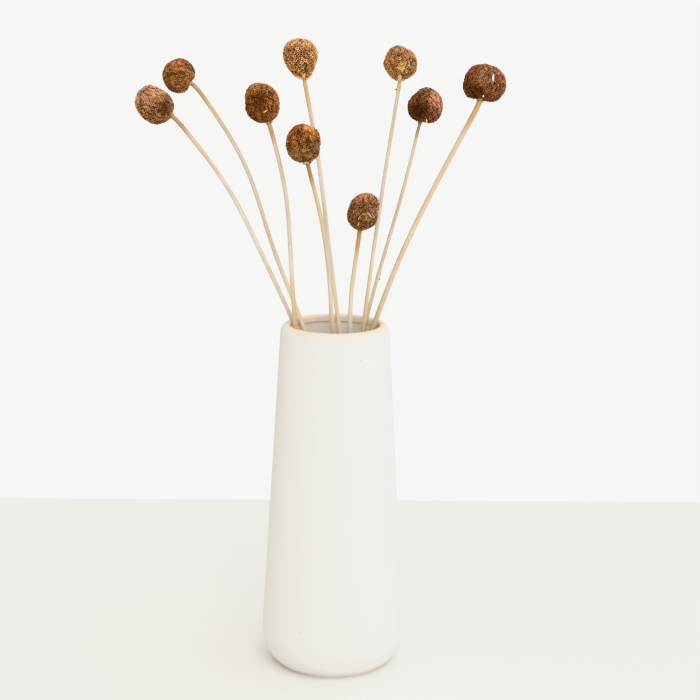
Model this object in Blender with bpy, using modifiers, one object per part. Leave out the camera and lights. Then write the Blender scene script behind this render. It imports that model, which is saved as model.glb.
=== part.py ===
"""Dried craspedia bunch standing in a tapered ceramic vase.

Units are metres and +Z is up. The origin is the centre of the vase's flat foot.
Sizes below are in millimetres and are scaled once by MM.
"""
import math
import random

import bmesh
import bpy
import numpy as np
from mathutils import Matrix, Vector

MM = 0.001
OBJECT_NAME = "dried_craspedia_bunch"

# Vase: a turned profile, radii and heights in millimetres
VASE_HEIGHT = 250.0
FOOT_RADIUS = 35.0
BELLY_RADIUS = 51.2
BELLY_HEIGHT = 26.0
WALL = 5.8
FLOOR_HEIGHT = 7.0
FLOOR_RADIUS = 33.0
SHOULDER_HEIGHT = 244.0
SHOULDER_RADIUS = 38.5
CREST_RADIUS = 33.3
LIP_RADIUS = 31.4
LIP_ROUND = 2.0
LIP_DEPTH = 4.8
UNDERCUT = 1.3
VASE_STEPS = 56

# Stems: round, a little thinner under the head
STEM_TAPER = 0.9
SPANS_INSIDE = 5
SPANS_ABOVE = 10
STEM_BEVEL_RESOLUTION = 2
FOOT_GAP = 0.35
NECK_LENGTH = 2.5
SOCKET_DEPTH = 4.6
SOCKET_GAP = 0.35
SOCKET_SIDES = 12

# Papery bracts: a whorl of short blades on the neck of each stem
BRACTS = 5
BRACT_LENGTH = 4.2
BRACT_WIDTH = 1.8
BRACT_THICKNESS = 0.8
BRACT_SPREAD = math.radians(74)

# Florets: a net of ridges round a pit for every floret
NET_KNOTS = 200
PIT_DEPTH = 1.1
KNOT_JITTER = 0.22
GOLDEN_ANGLE = math.pi * (3 - math.sqrt(5))

# Each flower, in millimetres from the origin: where its stem stands on the vase floor,
# crosses the rim and bends above it, the neck under the head and the head's centre.
# length is along the head's axis, width across it, and taper narrows the head to its base.
FLOWERS = {
    1: dict(foot=(26, -3.5), rim=(-29.5, 1.5), low=(-51.5, 2, 298.5), high=(-76, 0, 347),
            neck=(-112.5, -8, 395.5), head=(-124, -6, 402.5),
            length=29, width=24, taper=0.05, radius=1.5, colour=(0.275, 0.120, 0.050)),
    2: dict(foot=(20, -4.5), rim=(-24.8, 15), low=(-45.5, 18, 304.5), high=(-64.5, 21, 359.5),
            neck=(-100, 22, 414), head=(-109.5, 24, 420),
            length=24.5, width=24, taper=0.06, radius=1.5, colour=(0.247, 0.095, 0.030)),
    3: dict(foot=(-12, 7), rim=(-28, -8), low=(-31, -7, 297), high=(-35, -4, 343.5),
            neck=(-46.5, -2, 390.5), head=(-51.5, 1, 403.5),
            length=29, width=24, taper=0.04, radius=1.5, colour=(0.175, 0.056, 0.014)),
    4: dict(foot=(19, -23.5), rim=(2, 17.5), low=(-5.5, 23, 306.5), high=(-13, 30.5, 363),
            neck=(-23.5, 36.5, 419.5), head=(-25.8, 39, 432),
            length=26.5, width=23.5, taper=0.16, radius=1.45, colour=(0.337, 0.156, 0.055)),
    5: dict(foot=(1, 15), rim=(-2, -16), low=(-4.5, -20, 288.5), high=(-10, -24, 327.5),
            neck=(-19.5, -25.5, 366), head=(-22, -28, 379.5),
            length=28, width=24.5, taper=0.05, radius=1.5, colour=(0.212, 0.078, 0.023)),
    6: dict(foot=(-3.5, -25.5), rim=(20, -3), low=(27, 4, 306), high=(35, 15, 362),
            neck=(43.5, 26.5, 417.5), head=(44, 29, 429.5),
            length=24, width=23.5, taper=0.08, radius=1.45, colour=(0.323, 0.147, 0.050)),
    7: dict(foot=(-20.5, 20), rim=(22, 12.5), low=(34, 10.5, 297), high=(46.5, 5, 344.5),
            neck=(57, -1, 391.5), head=(60, -3, 403),
            length=25, width=24, taper=0.06, radius=1.5, colour=(0.150, 0.054, 0.019)),
    8: dict(foot=(-30, 7), rim=(28.6, 5.5), low=(47.5, 9, 301), high=(72.5, 17.5, 352),
            neck=(99.5, 25.5, 403.5), head=(102.5, 29, 416),
            length=26, width=30, taper=0.03, radius=1.7, colour=(0.181, 0.070, 0.023)),
    9: dict(foot=(-1.5, 3.5), rim=(10.5, -11.5), low=(11, -12.5, 273), high=(13.5, -14, 295.5),
            neck=(16.5, -11.5, 318.5), head=(18.5, -14, 332),
            length=27.5, width=22.5, taper=0.04, radius=1.5, colour=(0.227, 0.098, 0.038)),
}

VASE_COLOUR = (0.83, 0.80, 0.72)
STRAW_COLOUR = (0.72, 0.58, 0.38)


def clear_scene():
    """Remove the objects of the start-up scene."""
    for old in list(bpy.data.objects):
        bpy.data.objects.remove(old, do_unlink=True)


def new_collection(name):
    """A collection linked to the scene."""
    group = bpy.data.collections.new(name)
    bpy.context.scene.collection.children.link(group)
    return group


def make_material(name, colour, roughness):
    """A Principled material that isn't metallic."""
    material = bpy.data.materials.new(name)
    material.use_nodes = True
    shader = material.node_tree.nodes["Principled BSDF"]
    shader.inputs["Base Color"].default_value = (*colour, 1.0)
    shader.inputs["Roughness"].default_value = roughness
    shader.inputs["Metallic"].default_value = 0.0
    material.diffuse_color = (*colour, 1.0)
    return material


def add_mesh_object(name, mesh, group, material=None):
    """Link a mesh to a collection as a new object."""
    thing = bpy.data.objects.new(name, mesh)
    group.objects.link(thing)
    if material:
        mesh.materials.clear()
        mesh.materials.append(material)
    return thing


def evaluated_copy(thing):
    """The mesh of an object as its modifiers and curve settings make it."""
    graph = bpy.context.evaluated_depsgraph_get()
    return bpy.data.meshes.new_from_object(thing.evaluated_get(graph))


def shade_round(mesh, sharp_degrees=40):
    """Smooth shading, with edges sharper than the angle left crisp."""
    mesh.shade_smooth()
    mesh.set_sharp_from_angle(angle=math.radians(sharp_degrees))


def quarter(centre, radii, start, end, count):
    """Points on an elliptical arc, from one angle to another in degrees, both ends included."""
    angles = np.radians(np.linspace(start, end, count))
    return [(centre[0] + radii[0] * math.cos(a), centre[1] + radii[1] * math.sin(a)) for a in angles]


def vase_profile():
    """The closed section from the middle of the floor, up inside, over the rim and down outside."""
    inner_shoulder = VASE_HEIGHT - LIP_DEPTH
    inner_belly = BELLY_RADIUS - WALL
    points = [(0, FLOOR_HEIGHT)]
    points += quarter((FLOOR_RADIUS, BELLY_HEIGHT),
                      (inner_belly - FLOOR_RADIUS, BELLY_HEIGHT - FLOOR_HEIGHT), -90, 0, 6)
    points.append((LIP_RADIUS + UNDERCUT, inner_shoulder - UNDERCUT / 2))
    points.append((LIP_RADIUS, inner_shoulder))
    points += quarter((CREST_RADIUS, VASE_HEIGHT - LIP_ROUND),
                      (CREST_RADIUS - LIP_RADIUS, LIP_ROUND), 180, 90, 4)
    points += quarter((CREST_RADIUS, SHOULDER_HEIGHT),
                      (SHOULDER_RADIUS - CREST_RADIUS, VASE_HEIGHT - SHOULDER_HEIGHT), 90, 0, 5)[1:]
    points += quarter((FOOT_RADIUS, BELLY_HEIGHT),
                      (BELLY_RADIUS - FOOT_RADIUS, BELLY_HEIGHT), 0, -90, 7)
    points.append((0, 0))
    return points


def build_vase(group):
    """Turn the section once round the Z axis."""
    points = [(r * MM, 0.0, z * MM) for r, z in vase_profile()]
    mesh = bpy.data.meshes.new("vase")
    mesh.from_pydata(points, [(i, i + 1) for i in range(len(points) - 1)], [])
    vase = add_mesh_object("vase", mesh, group, make_material("bisque_ceramic", VASE_COLOUR, 0.75))
    turn = vase.modifiers.new("turn", "SCREW")
    turn.axis = "Z"
    turn.angle = math.tau
    turn.steps = VASE_STEPS
    turn.render_steps = VASE_STEPS
    turn.use_merge_vertices = True
    turn.merge_threshold = 0.00001
    turn.use_smooth_shade = True
    return vase


def natural_spline(knots, values):
    """A smooth cubic function through values at rising knots, straight at both ends."""
    knots = np.asarray(knots, float)
    values = np.asarray(values, float)
    steps = np.diff(knots)
    size = len(knots)
    matrix = np.eye(size)
    wanted = np.zeros(size)
    slopes = np.diff(values) / steps
    for i in range(1, size - 1):
        matrix[i, i - 1:i + 2] = steps[i - 1], 2 * (steps[i - 1] + steps[i]), steps[i]
        wanted[i] = 6 * (slopes[i] - slopes[i - 1])
    bends = np.linalg.solve(matrix, wanted)

    def at(height):
        i = int(np.clip(np.searchsorted(knots, height) - 1, 0, size - 2))
        above = knots[i + 1] - height
        below = height - knots[i]
        cubic = (bends[i] * above ** 3 + bends[i + 1] * below ** 3) / (6 * steps[i])
        return (cubic + (values[i] / steps[i] - bends[i] * steps[i] / 6) * above
                + (values[i + 1] / steps[i] - bends[i + 1] * steps[i] / 6) * below)

    return at


def head_axis(flower):
    """The direction in which a head grows, from its neck to its centre."""
    return (Vector(flower["head"]) - Vector(flower["neck"])).normalized()


def head_base(flower):
    """The lowest point of a head's surface, on its axis."""
    return Vector(flower["head"]) - head_axis(flower) * (flower["length"] / 2)


def foot_lean(flower):
    """The sine of a stem's lean in the vase: its square cut end stands on its lower edge."""
    run = Vector(flower["rim"]) - Vector(flower["foot"])
    return run.length / math.hypot(run.length, VASE_HEIGHT)


def stem_points(flower):
    """The middle line of a stem, from the vase floor to its tip inside the head."""
    neck = head_base(flower) - head_axis(flower) * NECK_LENGTH
    foot_height = FLOOR_HEIGHT + FOOT_GAP + flower["radius"] * foot_lean(flower)
    stations = [(*flower["foot"], foot_height), (*flower["rim"], VASE_HEIGHT),
                flower["low"], flower["high"], neck]
    heights = [p[2] for p in stations]
    run_x = natural_spline(heights, [p[0] for p in stations])
    run_y = natural_spline(heights, [p[1] for p in stations])
    inside = np.linspace(foot_height, VASE_HEIGHT, SPANS_INSIDE + 1)[:-1]
    above = np.linspace(VASE_HEIGHT, neck.z, SPANS_ABOVE + 1)
    points = [Vector((run_x(z), run_y(z), z)) for z in (*inside, *above)]
    points.append(head_base(flower) + head_axis(flower) * SOCKET_DEPTH)
    return points


def add_stem_curve(name, flower, group):
    """A stem as a bevelled curve with filled ends, thinning towards the head."""
    points = stem_points(flower)
    curve = bpy.data.curves.new(name, "CURVE")
    curve.dimensions = "3D"
    curve.bevel_depth = flower["radius"] * MM
    curve.bevel_resolution = STEM_BEVEL_RESOLUTION
    curve.use_fill_caps = True
    run = curve.splines.new("POLY")
    run.points.add(len(points) - 1)
    for i, (slot, point) in enumerate(zip(run.points, points)):
        slot.co = (*(point * MM), 1.0)
        slot.radius = 1 + (STEM_TAPER - 1) * i / (len(points) - 1)
    stem = bpy.data.objects.new(name, curve)
    group.objects.link(stem)
    return stem


def weld(mesh):
    """Join the points of a mesh that lie on each other, such as those of a curve's caps."""
    shape = bmesh.new()
    shape.from_mesh(mesh)
    bmesh.ops.remove_doubles(shape, verts=shape.verts, dist=0.000001)
    bmesh.ops.recalc_face_normals(shape, faces=shape.faces)
    shape.to_mesh(mesh)
    shape.free()


def add_bract(flower, turn, group):
    """One papery blade: a flat four-sided point that leans out from the neck."""
    shape = bmesh.new()
    bmesh.ops.create_cone(shape, cap_ends=True, segments=4, radius1=0.5, radius2=0.1, depth=1.0)
    bmesh.ops.translate(shape, verts=shape.verts, vec=(0, 0, 0.5))
    bmesh.ops.scale(shape, verts=shape.verts, vec=Vector((BRACT_THICKNESS, BRACT_WIDTH, BRACT_LENGTH)) * MM)
    mesh = bpy.data.meshes.new("bract")
    shape.to_mesh(mesh)
    shape.free()
    blade = add_mesh_object("bract", mesh, group)
    start = (head_base(flower) - head_axis(flower) * NECK_LENGTH * 0.62) * MM
    upright = head_axis(flower).to_track_quat("Z", "Y").to_matrix().to_4x4()
    lean = Matrix.Rotation(BRACT_SPREAD, 4, "Y")
    blade.matrix_world = Matrix.Translation(start) @ upright @ Matrix.Rotation(turn, 4, "Z") @ lean
    return blade


def build_stem(number, flower, group, spare):
    """A stem with its bracts, fused in one body."""
    name = f"stem_{number}"
    curve = add_stem_curve(name + "_curve", flower, group)
    mesh = evaluated_copy(curve)
    weld(mesh)
    stem = add_mesh_object(name, mesh, group, make_material(f"straw_{number}", STRAW_COLOUR, 0.7))
    stem.matrix_world = curve.matrix_world
    bpy.data.objects.remove(curve)
    chance = random.Random(40 + number)
    blades = [add_bract(flower, math.tau * (i + chance.uniform(-0.15, 0.15)) / BRACTS, spare)
              for i in range(BRACTS)]
    join = stem.modifiers.new("bracts", "BOOLEAN")
    join.operation = "UNION"
    join.solver = "EXACT"
    join.operand_type = "COLLECTION"
    join.collection = spare
    bpy.context.view_layer.update()
    fused = evaluated_copy(stem)
    stem.modifiers.clear()
    stem.data = fused
    for blade in blades:
        bpy.data.objects.remove(blade)
    shade_round(stem.data)
    return stem


def head_surface(flower, height, turn):
    """A point on a head's egg form, where height runs from -1 at the base to 1 at the top."""
    across = math.sqrt(max(0.0, 1 - height * height)) * (1 + flower["taper"] * height)
    return Vector((flower["width"] / 2 * across * math.cos(turn),
                   flower["width"] / 2 * across * math.sin(turn),
                   flower["length"] / 2 * height))


def floret_net(flower, seed):
    """The head's skin: knots on a spiral joined by ridges, with a pit inside every three."""
    chance = random.Random(seed)
    shape = bmesh.new()
    for i in range(NET_KNOTS):
        height = 1 - 2 * (i + 0.5) / NET_KNOTS
        turn = GOLDEN_ANGLE * i + chance.uniform(-0.06, 0.06)
        point = head_surface(flower, height, turn)
        lift = chance.uniform(-KNOT_JITTER, KNOT_JITTER)
        shape.verts.new((point + point.normalized() * lift) * MM)
    skin = bmesh.ops.convex_hull(shape, input=shape.verts)
    loose = [v for v in skin["geom_interior"] if isinstance(v, bmesh.types.BMVert)]
    bmesh.ops.delete(shape, geom=loose, context="VERTS")
    bmesh.ops.recalc_face_normals(shape, faces=shape.faces)
    bmesh.ops.poke(shape, faces=shape.faces, offset=-PIT_DEPTH * MM)
    mesh = bpy.data.meshes.new("floret_net")
    shape.to_mesh(mesh)
    shape.free()
    return mesh


def add_socket_cutter(number, flower, cutters):
    """The blind hole in a head's base that its stem stands in, with room all round."""
    radius = flower["radius"] + SOCKET_GAP
    depth = SOCKET_DEPTH + SOCKET_GAP + NECK_LENGTH
    bpy.ops.mesh.primitive_cylinder_add(vertices=SOCKET_SIDES, radius=radius * MM, depth=depth * MM)
    cutter = bpy.context.object
    cutter.name = f"socket_{number}"
    middle = head_base(flower) + head_axis(flower) * ((SOCKET_DEPTH + SOCKET_GAP - NECK_LENGTH) / 2)
    cutter.location = middle * MM
    cutter.rotation_mode = "QUATERNION"
    cutter.rotation_quaternion = head_axis(flower).to_track_quat("Z", "Y")
    for owner in list(cutter.users_collection):
        owner.objects.unlink(cutter)
    cutters.objects.link(cutter)
    cutter.hide_render = True
    cutter.display_type = "WIRE"
    return cutter


def build_head(number, flower, group, cutters):
    """A dense round head of florets with a socket for its stem."""
    mesh = floret_net(flower, 70 + number)
    material = make_material(f"dried_florets_{number}", flower["colour"], 0.85)
    head = add_mesh_object(f"head_{number}", mesh, group, material)
    head.location = Vector(flower["head"]) * MM
    head.rotation_mode = "QUATERNION"
    head.rotation_quaternion = head_axis(flower).to_track_quat("Z", "Y")
    cut = head.modifiers.new("socket", "BOOLEAN")
    cut.operation = "DIFFERENCE"
    cut.solver = "EXACT"
    cut.object = add_socket_cutter(number, flower, cutters)
    return head


def main():
    """Build the vase, then each stem and its head."""
    clear_scene()
    group = new_collection(OBJECT_NAME)
    cutters = new_collection("cutters")
    spare = new_collection("bracts")
    build_vase(group)
    for number, flower in FLOWERS.items():
        build_stem(number, flower, group, spare)
        build_head(number, flower, group, cutters)
    bpy.data.collections.remove(spare)


main()
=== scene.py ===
# %% [markdown]
# # A dried craspedia bunch in a bisque vase
#
# Nine cut craspedia stems stand loose in a tall pale vase. Each carries one round head, a ball of
# several hundred dried florets. A plain construction model already holds the true sizes and
# places, so this lesson builds every finished piece where its plain solid stands, and then lets
# it take that solid's place in the picture.
#
# There are three kinds of surface to make: matte fired clay, straw-like stems, and heads that are
# a net of tan rims round dark holes. Each has a section for its shape and one for its finish.

# %% Load the construction model
import math
import random
from collections import namedtuple

import bpy
import numpy as np
from mathutils import Matrix, Vector


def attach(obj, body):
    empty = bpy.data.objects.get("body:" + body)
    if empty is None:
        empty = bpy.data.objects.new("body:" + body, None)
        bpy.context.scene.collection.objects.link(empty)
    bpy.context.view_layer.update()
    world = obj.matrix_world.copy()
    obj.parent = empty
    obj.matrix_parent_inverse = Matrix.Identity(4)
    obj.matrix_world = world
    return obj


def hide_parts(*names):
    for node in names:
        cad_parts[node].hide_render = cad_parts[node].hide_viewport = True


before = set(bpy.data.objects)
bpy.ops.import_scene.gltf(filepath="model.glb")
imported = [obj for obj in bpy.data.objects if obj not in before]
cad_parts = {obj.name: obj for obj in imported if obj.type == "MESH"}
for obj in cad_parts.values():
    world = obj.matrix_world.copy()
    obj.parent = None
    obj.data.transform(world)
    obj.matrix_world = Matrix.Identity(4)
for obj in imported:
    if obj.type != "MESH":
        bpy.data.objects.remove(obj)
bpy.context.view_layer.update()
MM = 0.001

# %% [markdown]
# ## The camera
#
# The photograph looks down a little on the vase, through a fairly long lens from 1.2 m away. The
# camera's place and angles were worked out from the vase's outline. A camera can be aimed with
# three Euler angles, but here its right, up and forward directions are built one by one, because
# the same three vectors later turn a place in the picture into a ray.

# %% The camera
PHOTO_SIDE = 700
FOCAL_LENGTH_PIXELS = 1748.5
SENSOR_WIDTH = 36.0
NEAREST_SEEN = 0.05
CAMERA_PLACE = Vector((0.0, -1.200, 0.5119))
CAMERA_PITCH = math.radians(13.177)
CAMERA_YAW = math.radians(0.510)
CAMERA_ROLL = math.radians(0.597)


def camera_directions():
    """The camera's right, up and forward directions."""
    forward = Vector((math.sin(CAMERA_YAW) * math.cos(CAMERA_PITCH),
                      math.cos(CAMERA_YAW) * math.cos(CAMERA_PITCH),
                      -math.sin(CAMERA_PITCH)))
    level = Vector((math.cos(CAMERA_YAW), -math.sin(CAMERA_YAW), 0.0))
    upright = level.cross(forward)
    right = level * math.cos(CAMERA_ROLL) + upright * math.sin(CAMERA_ROLL)
    up = upright * math.cos(CAMERA_ROLL) - level * math.sin(CAMERA_ROLL)
    return right, up, forward


right, up, forward = camera_directions()
lens = bpy.data.cameras.new("camera")
lens.sensor_width = SENSOR_WIDTH
lens.lens = FOCAL_LENGTH_PIXELS / PHOTO_SIDE * SENSOR_WIDTH
lens.clip_start = NEAREST_SEEN
camera = bpy.data.objects.new("camera", lens)
bpy.context.scene.collection.objects.link(camera)
bpy.context.scene.camera = camera
turned = Matrix((right, up, -forward)).transposed().to_4x4()
camera.matrix_world = Matrix.Translation(CAMERA_PLACE) @ turned
print("lens in mm:", round(lens.lens, 1))

# %% [markdown]
# ## Helpers for node trees
#
# Geometry Nodes and materials are both trees of nodes. Adding and linking them by hand takes many
# lines, so a wire here stands for a node's output, and Python's own sums work on it: a wire plus
# a wire adds the node that adds them, for numbers and for vectors alike. A short function stands
# for each kind of node that comes up often. Any input takes either a plain value or a wire.

# %% Wires
class Wire:
    """A node's output, on which + - * / add the node that does that step."""

    def __init__(self, socket):
        self.socket = socket
        self.tree = socket.id_data

    def to(self, socket):
        """Lead the wire to an input."""
        self.tree.links.new(self.socket, socket)

    def __add__(self, other):
        return step("ADD", self, other)

    def __sub__(self, other):
        return step("SUBTRACT", self, other)

    def __rsub__(self, other):
        return step("SUBTRACT", other, self)

    def __mul__(self, other):
        if is_vector(self) and not is_vector(other):
            return wired(self.tree, "ShaderNodeVectorMath", {0: self, 3: other}, operation="SCALE")
        return step("MULTIPLY", self, other)

    def __truediv__(self, other):
        return step("DIVIDE", self, other)

    def __rtruediv__(self, other):
        return step("DIVIDE", other, self)


def add_node(tree, kind, inputs=None, **settings):
    """Add a node, set its options, then fill its inputs with plain values or wires."""
    node = tree.nodes.new(kind)
    for name, value in settings.items():
        setattr(node, name, value)
    for key, value in (inputs or {}).items():
        socket = node.inputs[key]
        if isinstance(value, Wire):
            value.to(socket)
        else:
            socket.default_value = (*value, 1.0) if socket.type == "RGBA" else value
    return node


def wired(tree, kind, inputs=None, output=0, **settings):
    """Add a node and take the wire that leaves one of its outputs."""
    return Wire(add_node(tree, kind, inputs, **settings).outputs[output])


def wires(node):
    """All the wires that leave a node, by name."""
    return {socket.name: Wire(socket) for socket in node.outputs}


def tree_of(*values):
    """The tree that the first wire among some values belongs to."""
    return next(value.tree for value in values if isinstance(value, Wire))


def is_vector(value):
    """Whether a wire or a plain value holds three numbers."""
    if isinstance(value, Wire):
        return value.socket.type in ("VECTOR", "RGBA")
    return not isinstance(value, (int, float))


def step(operation, *values):
    """One step of arithmetic on numbers or vectors."""
    kind = "ShaderNodeVectorMath" if any(is_vector(value) for value in values) else "ShaderNodeMath"
    output = 1 if operation in ("DOT_PRODUCT", "DISTANCE") else 0
    return wired(tree_of(*values), kind, dict(enumerate(values)), output, operation=operation)


print("a wire can be added, subtracted, multiplied and divided")

# %% Short names for common nodes
def combined(x, y, z):
    """A vector from three numbers."""
    return wired(tree_of(x, y, z), "ShaderNodeCombineXYZ", {0: x, 1: y, 2: z})


def parts(vector):
    """The three numbers of a vector."""
    return wires(add_node(vector.tree, "ShaderNodeSeparateXYZ", {0: vector})).values()


def ranged(value, low, high, start=0.0, end=1.0, smooth=False):
    """A value from one range brought to another, and held at its ends."""
    kind = "SMOOTHSTEP" if smooth else "LINEAR"
    values = {0: value, 1: low, 2: high, 3: start, 4: end}
    return wired(value.tree, "ShaderNodeMapRange", values, interpolation_type=kind)


def noise(vector, scale, detail=2.0, roughness=0.5, seed=None, output=0):
    """Cloudy noise: a value round one half, or with output 1 a colour."""
    inputs = {"Vector": vector, "Scale": scale, "Detail": detail, "Roughness": roughness}
    if seed is None:
        return wired(vector.tree, "ShaderNodeTexNoise", inputs, output)
    return wired(vector.tree, "ShaderNodeTexNoise", {**inputs, "W": seed}, output, noise_dimensions="4D")


def drawn(low, high, seed, draw):
    """A random number for each element. draw tells one use of the seed from another."""
    return wired(seed.tree, "FunctionNodeRandomValue", {2: low, 3: high, 8: seed + draw}, 1)


def kept(geometry, name, value, domain="POINT"):
    """Store a value on the geometry under a name that a material can read."""
    node = add_node(geometry.tree, "GeometryNodeStoreNamedAttribute", {"Geometry": geometry, "Name": name},
                    data_type="FLOAT_VECTOR" if is_vector(value) else "FLOAT", domain=domain)
    value.to(next(socket for socket in node.inputs if socket.name == "Value" and socket.enabled))
    return Wire(node.outputs[0])


def named(tree, name, data_type="FLOAT"):
    """Read a value that is stored on the geometry under a name."""
    return wired(tree, "GeometryNodeInputNamedAttribute", {"Name": name}, data_type=data_type)


def moved(geometry, **change):
    """Geometry whose points get a new Position, or are shifted by an Offset."""
    return wired(geometry.tree, "GeometryNodeSetPosition", {"Geometry": geometry, **change})


print("kinds of node with a short name: 8")

# %% [markdown]
# ## Running a tree on an object
#
# A tree becomes a piece in four steps: make the tree with named inputs, put it on an object as a
# modifier, set the inputs, and take the evaluated result as a plain mesh. Taking the plain mesh
# matters here, because a piece has to stay the same wherever the file is opened or exported. For
# the same reason a tree ends by making its instances real and setting its material.

# %% Trees
NUMBER = "NodeSocketFloat"
WHOLE = "NodeSocketInt"
ARROW = "NodeSocketVector"
COLOUR = "NodeSocketColor"
SURFACE = "NodeSocketMaterial"
GEOMETRY = "NodeSocketGeometry"


def new_tree(name, kind, inputs, outputs):
    """A tree with named sockets of each kind. Its inputs come back as wires, by name."""
    tree = bpy.data.node_groups.new(name, kind)
    for side, sockets in (("INPUT", inputs), ("OUTPUT", outputs)):
        for socket_type, labels in sockets.items():
            for label in labels:
                tree.interface.new_socket(label, in_out=side, socket_type=socket_type)
    return tree, wires(tree.nodes.new("NodeGroupInput")), tree.nodes.new("NodeGroupOutput").inputs


def shape_tree(name, inputs):
    """A Geometry Nodes tree that takes geometry, a material and these named inputs."""
    start = {GEOMETRY: ("Geometry",), SURFACE: ("Material",)}
    return new_tree(name, "GeometryNodeTree", {**start, **inputs}, {GEOMETRY: ("Geometry",)})


def end_tree(geometry, into, out):
    """Shade the result smooth, make its instances real and set its material."""
    smooth = wired(geometry.tree, "GeometryNodeSetShadeSmooth", {0: geometry})
    real = wired(geometry.tree, "GeometryNodeRealizeInstances", {0: smooth})
    dressed = wired(geometry.tree, "GeometryNodeSetMaterial", {0: real, "Material": into["Material"]})
    dressed.to(out["Geometry"])


print("kinds of socket:", ", ".join((NUMBER, WHOLE, ARROW, COLOUR, SURFACE, GEOMETRY)))

# %% Finished pieces
def new_object(name, mesh):
    """An object for a mesh, linked to the scene."""
    thing = bpy.data.objects.new(name, mesh)
    bpy.context.scene.collection.objects.link(thing)
    return thing


def evaluated_mesh(thing):
    """A plain mesh of an object as its modifiers make it, which takes the object's place."""
    graph = bpy.context.evaluated_depsgraph_get()
    mesh = bpy.data.meshes.new_from_object(thing.evaluated_get(graph), preserve_all_data_layers=True,
                                           depsgraph=graph)
    bpy.data.objects.remove(thing)
    return mesh


def grown(name, start, tree, values):
    """A plain mesh object that a tree grows from a start mesh."""
    seed_object = new_object(name + "_start", start)
    modifier = seed_object.modifiers.new(tree.name, "NODES")
    modifier.node_group = tree
    for item in tree.interface.items_tree:
        if item.in_out == "INPUT" and item.name in values:
            modifier[item.identifier] = values[item.name]
    mesh = evaluated_mesh(seed_object)
    mesh.name = name
    return new_object(name, mesh)


def store(mesh, name, values):
    """Keep a number or a vector for every point of a mesh, under a name."""
    if isinstance(values[0], Vector):
        row = mesh.attributes.new(name, "FLOAT_VECTOR", "POINT").data
        row.foreach_set("vector", [number for value in values for number in value])
    else:
        mesh.attributes.new(name, "FLOAT", "POINT").data.foreach_set("value", values)


def triangles(thing):
    """How many triangles a piece has."""
    return sum(len(face.vertices) - 2 for face in thing.data.polygons)


def finish_piece(piece, node=None):
    """Let a piece move with the object, and stand for a plain solid."""
    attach(piece, "root")
    if node:
        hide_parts(node)


print("node trees so far:", len(bpy.data.node_groups))

# %% [markdown]
# ## Shared finishes
#
# Three things come up in one material after another: soft cloudy patches, a fine grain that
# catches the light, and a value read from the mesh. The first two are shader node groups, so that
# clay, florets and papery bracts can each use them with sizes of their own. A group puts out only
# masks, colours and normals, and the shader itself stays in the material.

# %% Materials and colours
def new_material(name, roughness):
    """A material, with its shader's inputs and its object coordinates."""
    material = bpy.data.materials.new(name)
    material.use_nodes = True
    shader = material.node_tree.nodes["Principled BSDF"]
    shader.inputs["Roughness"].default_value = roughness
    return material, shader.inputs, wired(material.node_tree, "ShaderNodeTexCoord", output="Object")


def mixed(amount, first, second, blend="MIX"):
    """Two colours mixed by an amount."""
    return wired(tree_of(amount, first, second), "ShaderNodeMix", {0: amount, 6: first, 7: second}, 2,
                 data_type="RGBA", blend_type=blend)


def attribute(tree, name, output="Fac"):
    """A value or vector that the mesh carries."""
    return wired(tree, "ShaderNodeAttribute", output=output, attribute_name=name)


def grouped(tree, group, inputs):
    """Place a shader group and take its wires."""
    return wires(add_node(tree, "ShaderNodeGroup", inputs, node_tree=group))


print("materials so far:", len(bpy.data.materials))

# %% Shared shader groups
def make_mottle_group():
    """Soft patches: a mask from 0 to 1 with a given patch size in metres and contrast."""
    tree, into, out = new_tree("soft_mottle", "ShaderNodeTree",
                               {ARROW: ("Vector",), NUMBER: ("Patch Size", "Contrast")}, {NUMBER: ("Mask",)})
    patches = noise(into["Vector"], 1.0 / into["Patch Size"], detail=3.0)
    spread = 0.5 / into["Contrast"]
    ranged(patches, 0.5 - spread, spread + 0.5).to(out["Mask"])
    return tree


def make_grain_group():
    """A fine grain: a normal whose bumps have a given size and depth in metres."""
    tree, into, out = new_tree("fine_grain", "ShaderNodeTree",
                               {ARROW: ("Vector",), NUMBER: ("Grain Size", "Depth")},
                               {ARROW: ("Normal",), NUMBER: ("Height",)})
    height = noise(into["Vector"], 1.0 / into["Grain Size"], detail=3.0, roughness=0.6)
    wired(tree, "ShaderNodeBump", {"Distance": into["Depth"], "Height": height}).to(out["Normal"])
    height.to(out["Height"])
    return tree


MOTTLE = make_mottle_group()
GRAIN = make_grain_group()


def mottle(place, size, contrast):
    """The mask of soft patches."""
    return grouped(place.tree, MOTTLE, {"Vector": place, "Patch Size": size, "Contrast": contrast})["Mask"]


def grain(place, size, depth):
    """The normal and the height of a fine grain."""
    return grouped(place.tree, GRAIN, {"Vector": place, "Grain Size": size, "Depth": depth})


print("shared groups:", MOTTLE.name, "and", GRAIN.name)

# %% [markdown]
# ## The vase: shape
#
# The vase is slip-cast clay: a flat foot, a rounded belly, a straight taper and a thick rounded
# rim with a thin lip inside it. A turned piece can be sculpted, built from stacked cylinders or
# swept. A profile swept by a Screw modifier is the natural way, because the whole form is one
# line: floor, inner wall, lip, rim and outer wall, in that order, so the faces point outwards.

# %% Vase profile, in millimetres
VASE_HEIGHT = 250.0
FOOT_RADIUS = 35.0
BELLY_RADIUS = 51.2
BELLY_HEIGHT = 26.0
WALL = 5.8
FLOOR_HEIGHT = 7.0
FLOOR_RADIUS = 33.0
SHOULDER_HEIGHT = 244.0
SHOULDER_RADIUS = 38.5
CREST_RADIUS = 33.3
LIP_RADIUS = 31.4
LIP_ROUND = 2.0
LIP_DEPTH = 4.8
UNDERCUT = 1.3
FOOT_TURN = -76.0
FOOT_CHAMFER = 0.15


def arc(centre, radii, start, end, count):
    """Points on an elliptical arc, from one angle to another in degrees."""
    angles = np.radians(np.linspace(start, end, count))
    return [(centre[0] + radii[0] * math.cos(a), centre[1] + radii[1] * math.sin(a)) for a in angles]


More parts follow.
